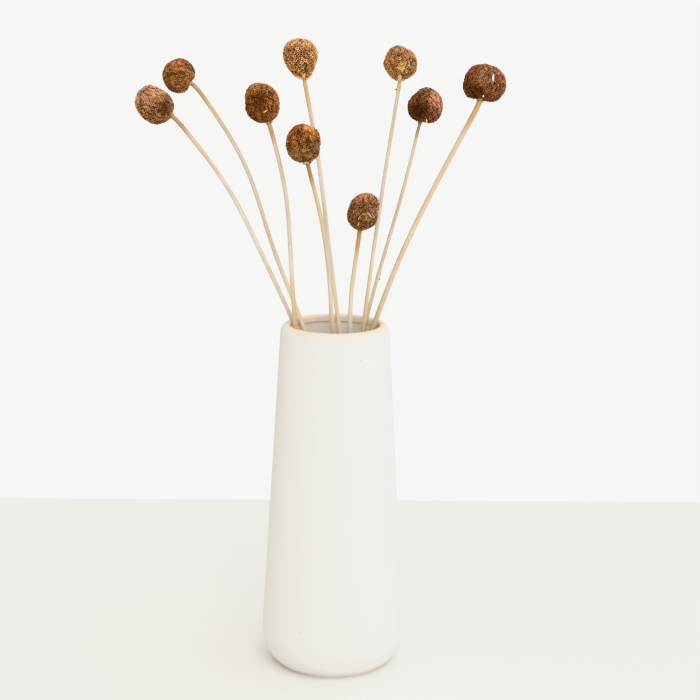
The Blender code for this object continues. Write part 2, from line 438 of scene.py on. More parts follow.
def vase_profile():
    """The closed section from the middle of the floor, up inside, over the rim and down outside."""
    inner_shoulder = VASE_HEIGHT - LIP_DEPTH
    inner_belly = BELLY_RADIUS - WALL
    points = [(0, FLOOR_HEIGHT)]
    points += arc((FLOOR_RADIUS, BELLY_HEIGHT),
                  (inner_belly - FLOOR_RADIUS, BELLY_HEIGHT - FLOOR_HEIGHT), -90, 0, count=14)
    points.append((LIP_RADIUS + UNDERCUT, inner_shoulder - UNDERCUT / 2))
    points += arc((LIP_RADIUS + UNDERCUT / 2, inner_shoulder),
                  (UNDERCUT / 2, UNDERCUT / 3), 270, 180, count=4)
    points += arc((CREST_RADIUS, VASE_HEIGHT - LIP_ROUND),
                  (CREST_RADIUS - LIP_RADIUS, LIP_ROUND), 180, 90, count=8)
    points += arc((CREST_RADIUS, SHOULDER_HEIGHT),
                  (SHOULDER_RADIUS - CREST_RADIUS, VASE_HEIGHT - SHOULDER_HEIGHT), 90, 0, count=14)[1:]
    points += arc((FOOT_RADIUS, BELLY_HEIGHT),
                  (BELLY_RADIUS - FOOT_RADIUS, BELLY_HEIGHT), 0, FOOT_TURN, count=22)
    points += [(points[-1][0] - FOOT_CHAMFER, 0), (0, 0)]
    return points


print("points in the vase's profile:", len(vase_profile()))

# %% [markdown]
# ### Turning it, and marking its zones
#
# The turned mesh also gets two values at every point for the finish. One marks the inside, with
# the floor and the edge of the foot, where a paler, warmer colour is painted light that lifts the
# shade in the vase and along the foot's contact. The other marks the rim, for a warm tint of
# painted light, and fades out a few millimetres down the shoulder, as the warmer edge in the
# photograph does.

# %% Turn the vase
VASE_STEPS = 180
MERGE_DISTANCE = 0.00001
SHARP_ANGLE = math.radians(35)
FLOOR_FACING = 0.9
FOOT_EDGE = 1.0
RIM_START = VASE_HEIGHT - LIP_DEPTH + 0.1
RIM_REACH = 1.40
RIM_FADE = 4.0


def turned_vase():
    """The profile turned once round the Z axis, as a plain mesh."""
    points = [(r * MM, 0.0, z * MM) for r, z in vase_profile()]
    outline = bpy.data.meshes.new("vase_profile")
    outline.from_pydata(points, [(i, i + 1) for i in range(len(points) - 1)], [])
    wheel = new_object("vase_profile", outline)
    turn = wheel.modifiers.new("turn", "SCREW")
    turn.axis = "Z"
    turn.angle = math.tau
    turn.steps = VASE_STEPS
    turn.render_steps = VASE_STEPS
    turn.use_merge_vertices = True
    turn.merge_threshold = MERGE_DISTANCE
    mesh = evaluated_mesh(wheel)
    mesh.shade_smooth()
    mesh.set_sharp_from_angle(angle=SHARP_ANGLE)
    return new_object("vase_bisque", mesh)


def held(value):
    """A number held between nought and one."""
    return min(1.0, max(0.0, value))


def mark_zones(mesh):
    """Store how far each point belongs to the inside and to the rim."""
    inside = []
    rim = []
    for vertex in mesh.vertices:
        height = vertex.co.z / MM
        facing = vertex.normal.dot(Vector((vertex.co.x, vertex.co.y, 0)).normalized())
        floor = vertex.normal.z > FLOOR_FACING and height < BELLY_HEIGHT
        # the floor and the foot's edge take the whole inside colour: painted light that lifts the shade there
        inside.append(1.0 if floor or height < FOOT_EDGE else held(-facing))
        # the rim's share of a warm tint of painted light: whole on the inner lip, fading down the outside
        climb = held((height - SHOULDER_HEIGHT) / RIM_FADE) if facing > 0 else 1.0
        rim.append(climb * held(1 - facing / RIM_REACH) if height > RIM_START else 0.0)
    store(mesh, "inside", inside)
    store(mesh, "rim", rim)


vase = turned_vase()
mark_zones(vase.data)
print("vase:", triangles(vase), "triangles, height in mm", round(vase.dimensions.z / MM, 1))

# %% [markdown]
# ## The vase: bisque finish
#
# The clay is fired but not glazed: matte, warm white, with a fine even grain, very faint clouding
# and here and there a pinhole. A flat white would look like plastic, so the colour drifts a little
# between two whites, the roughness follows the grain, and two small pits are pressed in where the
# photograph shows them. The inside, the floor and the foot's edge are painted paler and warmer,
# painted light that lifts their shade, and the rim gets a warm tint of painted light.

# %% Bisque material
CLAY_WHITE = (0.808, 0.795, 0.762)
CLAY_CREAM = (0.798, 0.779, 0.732)
# painted light: a paler, warmer colour for the inside, the floor and the foot's edge, lifting their shade
CLAY_INSIDE_PAINTED_LIGHT = (0.975, 0.880, 0.770)
# painted light: a warm tint on the rim that fades down the shoulder
CLAY_RIM_PAINTED_LIGHT = (0.842, 0.730, 0.578)
CLAY_ROUGHNESS = (0.66, 0.80)
PINHOLES = (Vector((0.0176, -0.0350, 0.2320)), Vector((-0.02236, -0.04537, 0.0367)))
PINHOLE_RADIUS = 0.0006
PINHOLE_EDGE = (PINHOLE_RADIUS * 0.4, PINHOLE_RADIUS)
PINHOLE_DEPTH = 0.0002
PINHOLE_BROWN = (0.30, 0.25, 0.20)
PINHOLE_SHARE = 0.7
GRAIN_SPAN = (0.3, 0.7)


def pinhole_mask(place):
    """One in each pinhole and nought elsewhere."""
    pits = [ranged(step("DISTANCE", place, spot), *PINHOLE_EDGE, 1.0, 0.0) for spot in PINHOLES]
    return step("MAXIMUM", *pits)


def bisque_material():
    """Matte unglazed clay."""
    material, shader, place = new_material("bisque_clay", 0.72)
    fine = grain(place, size=0.0007, depth=0.00005)
    speck = pinhole_mask(place)
    clay = mixed(mottle(place, size=0.045, contrast=1.6), CLAY_WHITE, CLAY_CREAM)
    # painted light inside the vase, on its floor and at the foot's edge
    clay = mixed(attribute(place.tree, "inside"), clay, CLAY_INSIDE_PAINTED_LIGHT)
    # a warm tint of painted light on the rim
    clay = mixed(attribute(place.tree, "rim"), clay, CLAY_RIM_PAINTED_LIGHT)
    mixed(speck * PINHOLE_SHARE, clay, PINHOLE_BROWN).to(shader["Base Color"])
    ranged(fine["Height"], *GRAIN_SPAN, *CLAY_ROUGHNESS).to(shader["Roughness"])
    dent = {"Distance": PINHOLE_DEPTH, "Height": speck, "Normal": fine["Normal"]}
    wired(place.tree, "ShaderNodeBump", dent, invert=True).to(shader["Normal"])
    return material


vase.data.materials.append(bisque_material())
finish_piece(vase, "vase")
print("vase finish:", vase.data.materials[0].name)

# %% [markdown]
# ## Nine flowers
#
# Each stem stands on the vase floor, crosses the rim, bends once or twice and ends in a head. The
# table holds for each flower the same stations as the construction model, in millimetres from the
# middle of the vase's foot, then the head's length along its own axis, its width across it, how
# much it narrows to its base, and the stem's radius. What is only for looks comes in tables of
# its own, where it is first needed.

# %% The flowers
Flower = namedtuple("Flower", "foot rim low high neck head length width taper radius")
FLOWERS = {
    1: Flower((26, -3.5), (-29.5, 1.5), (-51.5, 2, 298.5), (-76, 0, 347),
              (-112.5, -8, 395.5), (-124, -6, 402.5), 29, 24, 0.05, 1.5),
    2: Flower((20, -4.5), (-24.8, 15), (-45.5, 18, 304.5), (-64.5, 21, 359.5),
              (-100, 22, 414), (-109.5, 24, 420), 24.5, 24, 0.06, 1.5),
    3: Flower((-12, 7), (-28, -8), (-31, -7, 297), (-35, -4, 343.5),
              (-46.5, -2, 390.5), (-51.5, 1, 403.5), 29, 24, 0.04, 1.5),
    4: Flower((19, -23.5), (2, 17.5), (-5.5, 23, 306.5), (-13, 30.5, 363),
              (-23.5, 36.5, 419.5), (-25.8, 39, 432), 26.5, 23.5, 0.16, 1.45),
    5: Flower((1, 15), (-2, -16), (-4.5, -20, 288.5), (-10, -24, 327.5),
              (-19.5, -25.5, 366), (-22, -28, 379.5), 28, 24.5, 0.05, 1.5),
    6: Flower((-3.5, -25.5), (20, -3), (27, 4, 306), (35, 15, 362),
              (43.5, 26.5, 417.5), (44, 29, 429.5), 24, 23.5, 0.08, 1.45),
    7: Flower((-20.5, 20), (22, 12.5), (34, 10.5, 297), (46.5, 5, 344.5),
              (57, -1, 391.5), (60, -3, 403), 25, 24, 0.06, 1.5),
    8: Flower((-30, 7), (28.6, 5.5), (47.5, 9, 301), (72.5, 17.5, 352),
              (99.5, 25.5, 403.5), (102.5, 29, 416), 26, 30, 0.03, 1.7),
    9: Flower((-1.5, 3.5), (10.5, -11.5), (11, -12.5, 273), (13.5, -14, 295.5),
              (16.5, -11.5, 318.5), (18.5, -14, 332), 27.5, 22.5, 0.04, 1.5),
}


def head_axis(flower):
    """The direction in which a head grows, from its neck to its centre."""
    return (Vector(flower.head) - Vector(flower.neck)).normalized()


def head_base(flower):
    """The lowest point of a head's surface, on its axis."""
    return Vector(flower.head) - head_axis(flower) * (flower.length / 2)


def head_place(flower):
    """The matrix that sets a head, made round the origin and pointing up, in its place."""
    upright = head_axis(flower).to_track_quat("Z", "Y").to_matrix().to_4x4()
    return Matrix.Translation(Vector(flower.head) * MM) @ upright


print("flowers:", len(FLOWERS))

# %% [markdown]
# ## The heads: shape
#
# A craspedia head is packed with florets on the same spiral as a sunflower's disc. Seen close,
# each dried floret is a small tube that ends in five lobes round a dark throat, so the whole ball
# reads as tan rims round dark holes, and its outline is finely knobbly.
#
# Sculpting hundreds of florets nine times would take days, and a bumpy texture would leave a
# smooth outline. Geometry Nodes can follow the rule itself: points go on the spiral over an egg
# form, one floret is made once and set on every point, and a dark core closes the gaps.

# %% Spiral of points
GOLDEN_ANGLE = math.pi * (3 - math.sqrt(5))
SPIRAL_WANDER = 0.05


def spiral_points(tree, into):
    """Points on a golden spiral over the head's egg form, with a little disorder."""
    number = wired(tree, "GeometryNodeInputIndex")
    height = 1.0 - (number * 2.0 + 1.0) / into["Florets"]
    turn = number * GOLDEN_ANGLE + drawn(-SPIRAL_WANDER, SPIRAL_WANDER, into["Seed"], 1)
    ring = step("SQRT", 1.0 - height * height)
    across = ring * (into["Taper"] * height + 1.0) * into["Width"] * 0.5
    place = combined(across * step("COSINE", turn), across * step("SINE", turn),
                     height * into["Length"] * 0.5)
    return wired(tree, "GeometryNodePoints", {"Count": into["Florets"], "Position": place})


def facing_outward(position, into):
    """The direction in which the egg form's surface looks at a point."""
    flatness = into["Width"] / into["Length"]
    return step("NORMALIZE", position * combined(1.0, 1.0, flatness * flatness))


print("golden angle in degrees:", round(math.degrees(GOLDEN_ANGLE), 1))

# %% [markdown]
# ### One floret
#
# A floret starts as a plain ten-sided tube with five bands. Each of its six rings of corners then
# gets a radius and a height of its own: the foot, the collar, the lobed rim, the mouth, the throat
# and the bottom of the hole. Every second corner of the rim is pushed out and up, which gives five
# lobes. With a little over fifty faces it is light enough to be repeated hundreds of times.

# %% One floret
# foot, collar, rim, mouth, throat, bottom
RING_RADII = (0.60, 0.72, 0.84, 0.62, 0.42, 0.16)
RING_HEIGHTS = (-0.95, -0.14, 0.12, 0.02, -0.50, -0.85)
LOBE_REACH = (0.0, 0.04, 0.20, 0.08, 0.0, 0.0)
LOBE_RISE = (0.0, 0.02, 0.22, 0.10, 0.0, 0.0)
OPENNESS = (0.0, 0.28, 1.0, 0.62, 0.12, 0.0)
LOBES = 5


def by_ring(ring, values):
    """A value for each ring of the floret."""
    node = add_node(ring.tree, "GeometryNodeIndexSwitch", data_type="FLOAT")
    while len(node.index_switch_items) < len(values):
        node.index_switch_items.new()
    ring.to(node.inputs[0])
    for i, value in enumerate(values):
        node.inputs[i + 1].default_value = value
    return Wire(node.outputs[0])


def floret_shape(position):
    """A five-lobed cup with a radius of about one, whose mouth is at height nought."""
    bands = len(RING_RADII) - 1
    tube = wired(position.tree, "GeometryNodeMeshCylinder",
                 {"Vertices": LOBES * 2, "Side Segments": bands, "Radius": 1.0, "Depth": float(bands)},
                 fill_type="NGON")
    x, y, z = parts(position)
    ring = step("ROUND", z + bands / 2)
    lobe = step("COSINE", step("ARCTAN2", y, x) * float(LOBES))
    reach = by_ring(ring, LOBE_REACH) * lobe + by_ring(ring, RING_RADII)
    rise = by_ring(ring, LOBE_RISE) * lobe + by_ring(ring, RING_HEIGHTS)
    tube = kept(tube, "open", by_ring(ring, OPENNESS))
    return moved(tube, Position=combined(x * reach, y * reach, rise))


print("lobes of a floret:", LOBES)

# %% [markdown]
# ### Broad bulges
#
# No head is a perfect egg. Seen from the camera, each outline swells and dips a little, so a few
# cosine waves run round it, from one that widens it all round to one with five crests. Their
# heights in millimetres and their turns in degrees are in the table, after the number of florets.

# %% Broad bulges
BALLS = {
    1: (640, (0.02, 0.76, 0.40, 0.23, 0.32, 0.12), (-71, -172, 63, 58, 166)),
    2: (620, (-0.52, 0.44, 0.83, 0.69, 0.26, 0.22), (-130, 132, 82, 24, 33)),
    3: (560, (-0.02, 0.59, 0.25, 0.27, 0.29, 0.03), (-46, 89, -3, 177, 165)),
    4: (340, (0.68, 0.69, 0.48, 0.30, 0.29, 0.07), (-71, -137, 89, 77, -49)),
    5: (600, (-0.43, 0.50, 0.31, 0.20, 0.32, 0.25), (-113, 82, -24, 171, 145)),
    6: (500, (0.08, 0.52, 0.41, 0.26, 0.12, 0.29), (-102, -109, -57, 99, -174)),
    7: (480, (-0.11, 0.59, 0.43, 0.79, 0.14, 0.23), (-35, 21, -132, 94, 58)),
    8: (680, (0.34, 0.37, 0.26, 0.59, 0.61, 0.10), (-8, 13, -108, 130, -25)),
    9: (600, (-0.21, 0.77, 0.55, 0.33, 0.39, 0.11), (-66, 90, 180, 159, 169)),
}
WAVES = 6


def broad_bulge(position, into):
    """How far a point stands out from the egg form, by the waves round the outline."""
    outward = step("NORMALIZE", position)
    across = step("DOT_PRODUCT", outward, into["Picture Right"])
    upward = step("DOT_PRODUCT", outward, into["Picture Up"])
    angle = step("ARCTAN2", upward, across)
    total = into["Wave 0"]
    for k in range(1, WAVES):
        total = step("COSINE", angle * float(k) - into[f"Turn {k}"]) * into[f"Wave {k}"] + total
    return total * step("SQRT", across * across + upward * upward)


print("florets in all:", sum(count for count, _, _ in BALLS.values()))

# %% The whole head
SWELLING_SIZE = 0.014
LUMP_SIZE = 0.004
FLORET_TILT = 0.30
FLORET_WIDTHS = (0.82, 1.18)
FLORET_HEIGHTS = (0.60, 1.30)
RAGGED_SCALE = 1600.0


def cloud(vector, size, seed):
    """Soft seeded noise from about -0.5 to 0.5, with bumps of a given size in metres."""
    return noise(vector, 1.0 / size, detail=1.0, seed=seed) - 0.5


def make_head_tree():
    """A head of florets round the origin, with its stem side down."""
    tree, into, out = shape_tree("floret_head", {
        WHOLE: ("Florets", "Seed"), ARROW: ("Picture Right", "Picture Up"),
        NUMBER: ("Length", "Width", "Taper", "Floret Size", "Swelling", "Lumps", "Core Depth", "Raggedness",
                 *(f"Wave {k}" for k in range(WAVES)), *(f"Turn {k}" for k in range(1, WAVES)))})
    seed = into["Seed"]
    position = wired(tree, "GeometryNodeInputPosition")
    facing = facing_outward(position, into)
    swell = cloud(position, SWELLING_SIZE, seed) * into["Swelling"]
    lumps = cloud(position, LUMP_SIZE, seed) * into["Lumps"]
    points = moved(spiral_points(tree, into), Offset=facing * (broad_bulge(position, into) + (swell + lumps)))

    # the core fills the gaps between florets with the hole colour, partly painted shade
    hull = wired(tree, "GeometryNodeConvexHull", {0: points})
    core = moved(hull, Offset=facing * (into["Core Depth"] * -1.0))

    upright = wired(tree, "FunctionNodeAlignRotationToVector", {"Vector": facing}, axis="Z")
    untidy = combined(drawn(-FLORET_TILT, FLORET_TILT, seed, 3), drawn(-FLORET_TILT, FLORET_TILT, seed, 4),
                      drawn(0.0, math.tau, seed, 5))
    untidy = wired(tree, "FunctionNodeEulerToRotation", {0: untidy})
    rotation = wired(tree, "FunctionNodeRotateRotation", {"Rotation": upright, "Rotate By": untidy},
                     rotation_space="LOCAL")
    width = into["Floret Size"] * drawn(*FLORET_WIDTHS, seed, 6)
    height = into["Floret Size"] * drawn(*FLORET_HEIGHTS, seed, 7)
    florets = wired(tree, "GeometryNodeInstanceOnPoints",
                    {"Points": points, "Instance": floret_shape(position), "Rotation": rotation,
                     "Scale": combined(width, width, height)})
    florets = kept(florets, "tint", drawn(0.0, 1.0, seed, 2), domain="INSTANCE")
    florets = wired(tree, "GeometryNodeRealizeInstances", {0: florets})
    lean = noise(position, RAGGED_SCALE, output=1) - (0.5, 0.5, 0.5)
    florets = moved(florets, Offset=lean * into["Raggedness"])

    joined = tree.nodes.new("GeometryNodeJoinGeometry")
    core.to(joined.inputs[0])
    florets.to(joined.inputs[0])
    end_tree(Wire(joined.outputs[0]), into, out)
    return tree


HEAD_TREE = make_head_tree()
print("head tree:", len(HEAD_TREE.nodes), "nodes")

# %% [markdown]
# ## The heads: finish
#
# Dried florets are tan to pinkish brown on the rims. The throats, and the core between florets,
# are almost black-brown: partly their own colour and partly painted shade in the hollows. The tips
# of the lobes are pale: partly their own colour and partly painted highlight. The mesh carries two
# values that a material can read: how open a place is, from the bottom of the hole to the tip of a
# lobe, and a tint that is the same over one floret. The colour runs from hole to rim to tip by the
# first, shifts from floret to floret by the second, and drifts over the head in clumps and broader
# patches.
#
# One side of each head has a colour of its own: partly painted light and partly the head's own
# tint. Two patches on each head are paler or darker, down into the holes; the dark patches low on
# the left of heads 7 and 8 are painted shade, and the pale patches at the right of head 7 and on
# top of head 9 are painted highlights. The table gives their directions, sizes and colours. A
# little sheen stands for the fuzz on dry florets.

# %% Floret colours
HEAD_COLOURS = {
    # rim, hole with painted shade, side of painted light and tint and its colour; two patches: how far right,
    # how far up, size, colour
    1: ((0.350, 0.199, 0.081), (0.179, 0.066, 0.025), (-0.6, -0.5, 0.8), (0.748, 0.393, 0.243),
        ((0.30, 0.38, 0.40, (1.0, 0.57, 0.240)), (0.66, -0.36, 0.46, (0.11, 0.052, 0.025)))),
    2: ((0.436, 0.230, 0.101), (0.170, 0.064, 0.021), (0.3, -0.5, 0.9), (0.443, 0.203, 0.094),
        ((0.10, 0.62, 0.50, (0.56, 0.20, 0.085)), (-0.15, -0.60, 0.45, (0.42, 0.215, 0.090)))),
    3: ((0.156, 0.050, 0.016), (0.119, 0.031, 0.009), (0.6, -0.5, 0.8), (0.686, 0.296, 0.126),
        ((-0.30, 0.72, 0.30, (0.62, 0.36, 0.180)), (-0.10, -0.05, 0.60, (0.16, 0.042, 0.012)))),
    4: ((0.745, 0.390, 0.172), (0.205, 0.066, 0.022), (0.8, -0.5, 0.5), (0.850, 0.470, 0.220),
        ((-0.30, 0.62, 0.40, (0.90, 0.58, 0.300)), (-0.78, 0.05, 0.42, (0.56, 0.26, 0.140)))),
    5: ((0.412, 0.261, 0.105), (0.099, 0.033, 0.011), (-0.2, -0.5, 1.0), (0.416, 0.148, 0.062),
        ((0.34, 0.64, 0.44, (0.94, 0.41, 0.115)), (-0.35, -0.62, 0.50, (0.46, 0.240, 0.110)))),
    6: ((0.671, 0.407, 0.192), (0.263, 0.093, 0.030), (-0.5, -0.5, 0.9), (0.620, 0.326, 0.161),
        ((0.15, -0.42, 0.45, (0.86, 0.54, 0.250)), (-0.68, -0.05, 0.36, (0.52, 0.22, 0.080)))),
    # head 7: the pale patch at the right is a painted highlight, the dark one low on the left painted shade
    7: ((0.107, 0.053, 0.026), (0.063, 0.019, 0.009), (0.85, -0.5, 0.5), (0.402, 0.180, 0.089),
        ((0.62, 0.18, 0.52, (0.90, 0.44, 0.240)), (-0.35, -0.45, 0.55, (0.060, 0.022, 0.010)))),
    # head 8: the dark patch low on the left is painted shade
    8: ((0.173, 0.070, 0.025), (0.111, 0.035, 0.011), (0.75, -0.5, 0.7), (0.544, 0.226, 0.116),
        ((0.05, 0.10, 0.45, (0.52, 0.30, 0.170)), (-0.45, -0.55, 0.45, (0.10, 0.036, 0.013)))),
    # head 9: the pale patch on top is a painted highlight
    9: ((0.272, 0.144, 0.064), (0.112, 0.046, 0.025), (0.65, -0.5, 0.8), (0.516, 0.249, 0.132),
        ((0.26, 0.72, 0.42, (0.85, 0.38, 0.190)), (0.12, -0.34, 0.38, (0.50, 0.300, 0.115)))),
}
print("heads with colours of their own:", len(HEAD_COLOURS))

# %% A group for the florets' colour
RUST_SHARE = 0.45
PATCHES = 2
PATCH_SHARE = 0.75
PATCH_FADE = (0.55, 1.25)
PATCH_RAGGEDNESS = 0.7
HOLE_SHARE = 0.45
RAGGED_EDGE_SCALE = 260.0
RAGGED_EDGE = 0.9
PAINTED_LIGHT_AND_TINT_FADE = (-0.9, 0.9)
HOLE_TO_RIM = (0.0, 0.70)
RIM_TO_TIP = (0.80, 1.0)
PALE_TINTS = (0.35, 1.0)
FLORET_SHADES = (0.64, 1.53)
CLUMP_SHADES = (0.82, 1.20)
DRIFT_SHADES = (0.78, 1.24)
OPEN_SPAN = (0.2, 0.9)
FLORET_ROUGHNESS = (0.95, 0.62)


def make_floret_group():
    """The colour of a place on a head, from the values that its mesh carries."""
    patches = range(PATCHES)
    tree, into, out = new_tree("floret_colour", "ShaderNodeTree", {
        ARROW: ("Vector", "Centre", "Painted Light And Tint Side", *(f"Patch Side {k}" for k in patches)),
        COLOUR: ("Hole And Painted Shade", "Rim", "Tip", "Rust", "Painted Light And Tint", *(f"Patch {k}" for k in patches)),
        NUMBER: [f"Patch Size {k}" for k in patches]}, {COLOUR: ("Colour",), NUMBER: ("Roughness",)})
    place = into["Vector"]
    openness = attribute(tree, "open")
    tint = attribute(tree, "tint")
    rim = mixed(mottle(place, size=0.008, contrast=3.2) * RUST_SHARE, into["Rim"], into["Rust"])
    outward = step("NORMALIZE", place - into["Centre"])
    ragged = noise(place, RAGGED_EDGE_SCALE) * RAGGED_EDGE - RAGGED_EDGE / 2
    # one side of the head gets its own colour: partly painted light, partly the head's own tint
    toward = step("DOT_PRODUCT", outward, into["Painted Light And Tint Side"]) + ragged
    rim = mixed(ranged(toward, *PAINTED_LIGHT_AND_TINT_FADE), rim, into["Painted Light And Tint"])
    # the hole colour: partly the florets' own dark throats, partly painted shade in the hollows
    hole_and_painted_shade = into["Hole And Painted Shade"]
    # some patches are painted shade and highlights, as noted in the table
    for k in patches:
        gap = step("DISTANCE", outward, into[f"Patch Side {k}"])
        gap = (ragged * PATCH_RAGGEDNESS + gap) / into[f"Patch Size {k}"]
        share = ranged(gap, *PATCH_FADE, PATCH_SHARE, 0.0)
        rim = mixed(share, rim, into[f"Patch {k}"])
        hole_and_painted_shade = mixed(share * HOLE_SHARE, hole_and_painted_shade, into[f"Patch {k}"])
    colour = mixed(ranged(openness, *HOLE_TO_RIM), hole_and_painted_shade, rim)
    # the lobe tips are paler: partly their own colour, partly painted highlight
    colour = mixed(ranged(openness, *RIM_TO_TIP) * ranged(tint, *PALE_TINTS), colour, into["Tip"])
    clumps = mottle(place, size=0.0030, contrast=2.6)
    drift = mottle(place, size=0.0090, contrast=2.4)
    shade = ranged(tint, 0.0, 1.0, *FLORET_SHADES) * ranged(clumps, 0.0, 1.0, *CLUMP_SHADES)
    shade = shade * ranged(drift, 0.0, 1.0, *DRIFT_SHADES)
    mixed(1.0, colour, combined(shade, shade, shade), blend="MULTIPLY").to(out["Colour"])
    ranged(openness, *OPEN_SPAN, *FLORET_ROUGHNESS).to(out["Roughness"])
    return tree


FLORET = make_floret_group()
print("sockets of the floret colour group:", len(FLORET.interface.items_tree))

# %% A material for each head
RUST = (0.27, 0.070, 0.024)
# the lobe tips: twice the rim colour, partly painted highlight
TIP_AND_HIGHLIGHT_GAIN = 2.0
BRIGHTEST_TIP_AND_HIGHLIGHT = 0.9
FUZZ = 0.22
FUZZ_COLOUR = (1.0, 0.86, 0.72)


def seen_direction(across, upward):
    """The direction from a head's centre to the spot seen that far right of it and above it, in radii."""
    nearer = math.sqrt(max(0.0, 1 - across ** 2 - upward ** 2))
    return right * across + up * upward - forward * nearer


def floret_material(number, flower):
    """The dried florets of one head."""
    rim, hole_and_painted_shade, painted_light_and_tint_side, painted_light_and_tint, patches = HEAD_COLOURS[number]
    material, shader, place = new_material(f"dried_florets_{number}", 0.8)
    values = {"Vector": place, "Centre": Vector(flower.head) * MM, "Hole And Painted Shade": hole_and_painted_shade, "Rim": rim, "Rust": RUST,
              "Tip": [min(BRIGHTEST_TIP_AND_HIGHLIGHT, part * TIP_AND_HIGHLIGHT_GAIN) for part in rim],
              "Painted Light And Tint Side": Vector(painted_light_and_tint_side).normalized(), "Painted Light And Tint": painted_light_and_tint}
    for k, (across, upward, size, patch) in enumerate(patches):
        values[f"Patch Side {k}"] = seen_direction(across, upward)
        values[f"Patch Size {k}"] = size
        values[f"Patch {k}"] = patch
    colour = grouped(place.tree, FLORET, values)
    shader["Sheen Weight"].default_value = FUZZ
    shader["Sheen Tint"].default_value = (*FUZZ_COLOUR, 1.0)
    colour["Colour"].to(shader["Base Color"])
    colour["Roughness"].to(shader["Roughness"])
    grain(place, size=0.0003, depth=0.00006)["Normal"].to(shader["Normal"])
    return material


print("from a head towards the camera:", [round(part, 2) for part in seen_direction(0.0, 0.0)])

# %% Grow the heads
HEAD_SEEDS = 20
RIM_PROUD = 0.75
FLORET_OVERLAP = 1.06
SWELLING = 1.3 * MM
LUMPS = 1.6 * MM
RAGGEDNESS = 0.45 * MM
CORE_DEPTH = 0.75


def floret_radius(flower, florets):
    """Half the distance between florets on a head, with a little overlap, in millimetres."""
    area = math.pi * flower.width * (flower.length + flower.width) / 2
    return math.sqrt(area / florets * 2 / math.sqrt(3)) / 2 * FLORET_OVERLAP


heads = {}
for number, flower in FLOWERS.items():
    florets, waves, turns = BALLS[number]
    radius = floret_radius(flower, florets)
    unturned = head_place(flower).to_3x3().inverted()
    size = {"Florets": florets, "Length": (flower.length - RIM_PROUD) * MM,
            "Width": (flower.width - RIM_PROUD) * MM, "Taper": flower.taper, "Floret Size": radius * MM,
            "Swelling": SWELLING, "Lumps": LUMPS, "Core Depth": radius * CORE_DEPTH * MM,
            "Raggedness": RAGGEDNESS, "Picture Right": unturned @ right, "Picture Up": unturned @ up,
            "Seed": HEAD_SEEDS * number, "Material": floret_material(number, flower)}
    size.update({f"Wave {k}": amount * MM for k, amount in enumerate(waves)})
    size.update({f"Turn {k + 1}": math.radians(turn) for k, turn in enumerate(turns)})
    head = grown(f"head_{number}_florets", bpy.data.meshes.new("start"), HEAD_TREE, size)
    head.data.transform(head_place(flower))
    finish_piece(head, f"head_{number}")
    heads[number] = head
    print("head", number, "- floret width in mm:", round(radius * 2, 2), "- triangles:", triangles(head))

# %% [markdown]
# ## The stems: shape
#
# A dried stem is a long thin straw: round with faint ribs, a little thinner towards the head,
# swollen at old leaf scars and never quite straight. A bevelled curve gives a perfect tube, which
# looks like wire. Geometry Nodes can sweep a ribbed ring along the line instead, with a width
# that is stored on every point, and carry two values along for the finish: how far a point is
# from the head, and where it lies round the ring.
#
# The line runs through the flower's stations as a smooth cubic spline. The table gives how stout
# each stem is beside its plain solid, how much wider or slimmer it gets near its head, and the
# heights of its leaf scars, and then what its finish needs: the colour under the head, how far
# down that reaches in millimetres, and the tone of the straw at the top, in the middle and near
# the vase.

# %% The straws
Straw = namedtuple("Straw", "stout crown scars tip_colour tip_length tones")
# tones: top, middle and near the vase; the tone near the vase holds painted light as well as the straw's own
# colour
STRAWS = {
    1: Straw(1.15, 1.00, (305,), (0.420, 0.237, 0.107), 14, (-0.5, 1.0, 0.4)),
    2: Straw(1.13, 1.05, (294,), (0.465, 0.300, 0.145), 14, (-0.5, 0.5, 2.0)),
    3: Straw(1.15, 1.05, (), (0.510, 0.256, 0.094), 12, (0.5, 1.1, -0.6)),
    4: Straw(1.17, 1.00, (), (0.640, 0.430, 0.205), 20, (0.2, 0.9, 1.9)),
    5: Straw(1.13, 0.98, (), (0.370, 0.180, 0.065), 14, (-1.0, 0.3, 0.7)),
    6: Straw(1.05, 1.00, (412,), (0.610, 0.445, 0.207), 8, (0.6, 0.7, -0.5)),
    7: Straw(1.02, 0.78, (283,), (0.355, 0.203, 0.120), 10, (0.6, 0.4, 1.5)),
    8: Straw(1.20, 1.10, (), (0.550, 0.335, 0.134), 20, (0.2, 0.3, -0.4)),
    9: Straw(1.15, 1.05, (), (0.460, 0.240, 0.096), 16, (0.2, 0.5, 0.9)),
}
print("stoutest stem, beside its solid:", max(straw.stout for straw in STRAWS.values()))

# %% A smooth line through stations
def natural_spline(knots, values):
    """A smooth cubic function through values at rising knots, straight at both ends."""
    knots = np.asarray(knots, float)
    values = np.asarray(values, float)
    steps = np.diff(knots)
    size = len(knots)
    matrix = np.eye(size)
    wanted = np.zeros(size)
    slopes = np.diff(values) / steps
    for i in range(1, size - 1):
        matrix[i, i - 1:i + 2] = steps[i - 1], 2 * (steps[i - 1] + steps[i]), steps[i]
        wanted[i] = 6 * (slopes[i] - slopes[i - 1])
    bends = np.linalg.solve(matrix, wanted)

    def at(height):
        i = int(np.clip(np.searchsorted(knots, height) - 1, 0, size - 2))
        above = knots[i + 1] - height
        below = height - knots[i]
        cubic = (bends[i] * above ** 3 + bends[i + 1] * below ** 3) / (6 * steps[i])
        return (cubic + (values[i] / steps[i] - bends[i] * steps[i] / 6) * above
                + (values[i + 1] / steps[i] - bends[i + 1] * steps[i] / 6) * below)

    return at


print("half-way along a line from 0 to 1:", natural_spline((0, 1), (0, 1))(0.5))

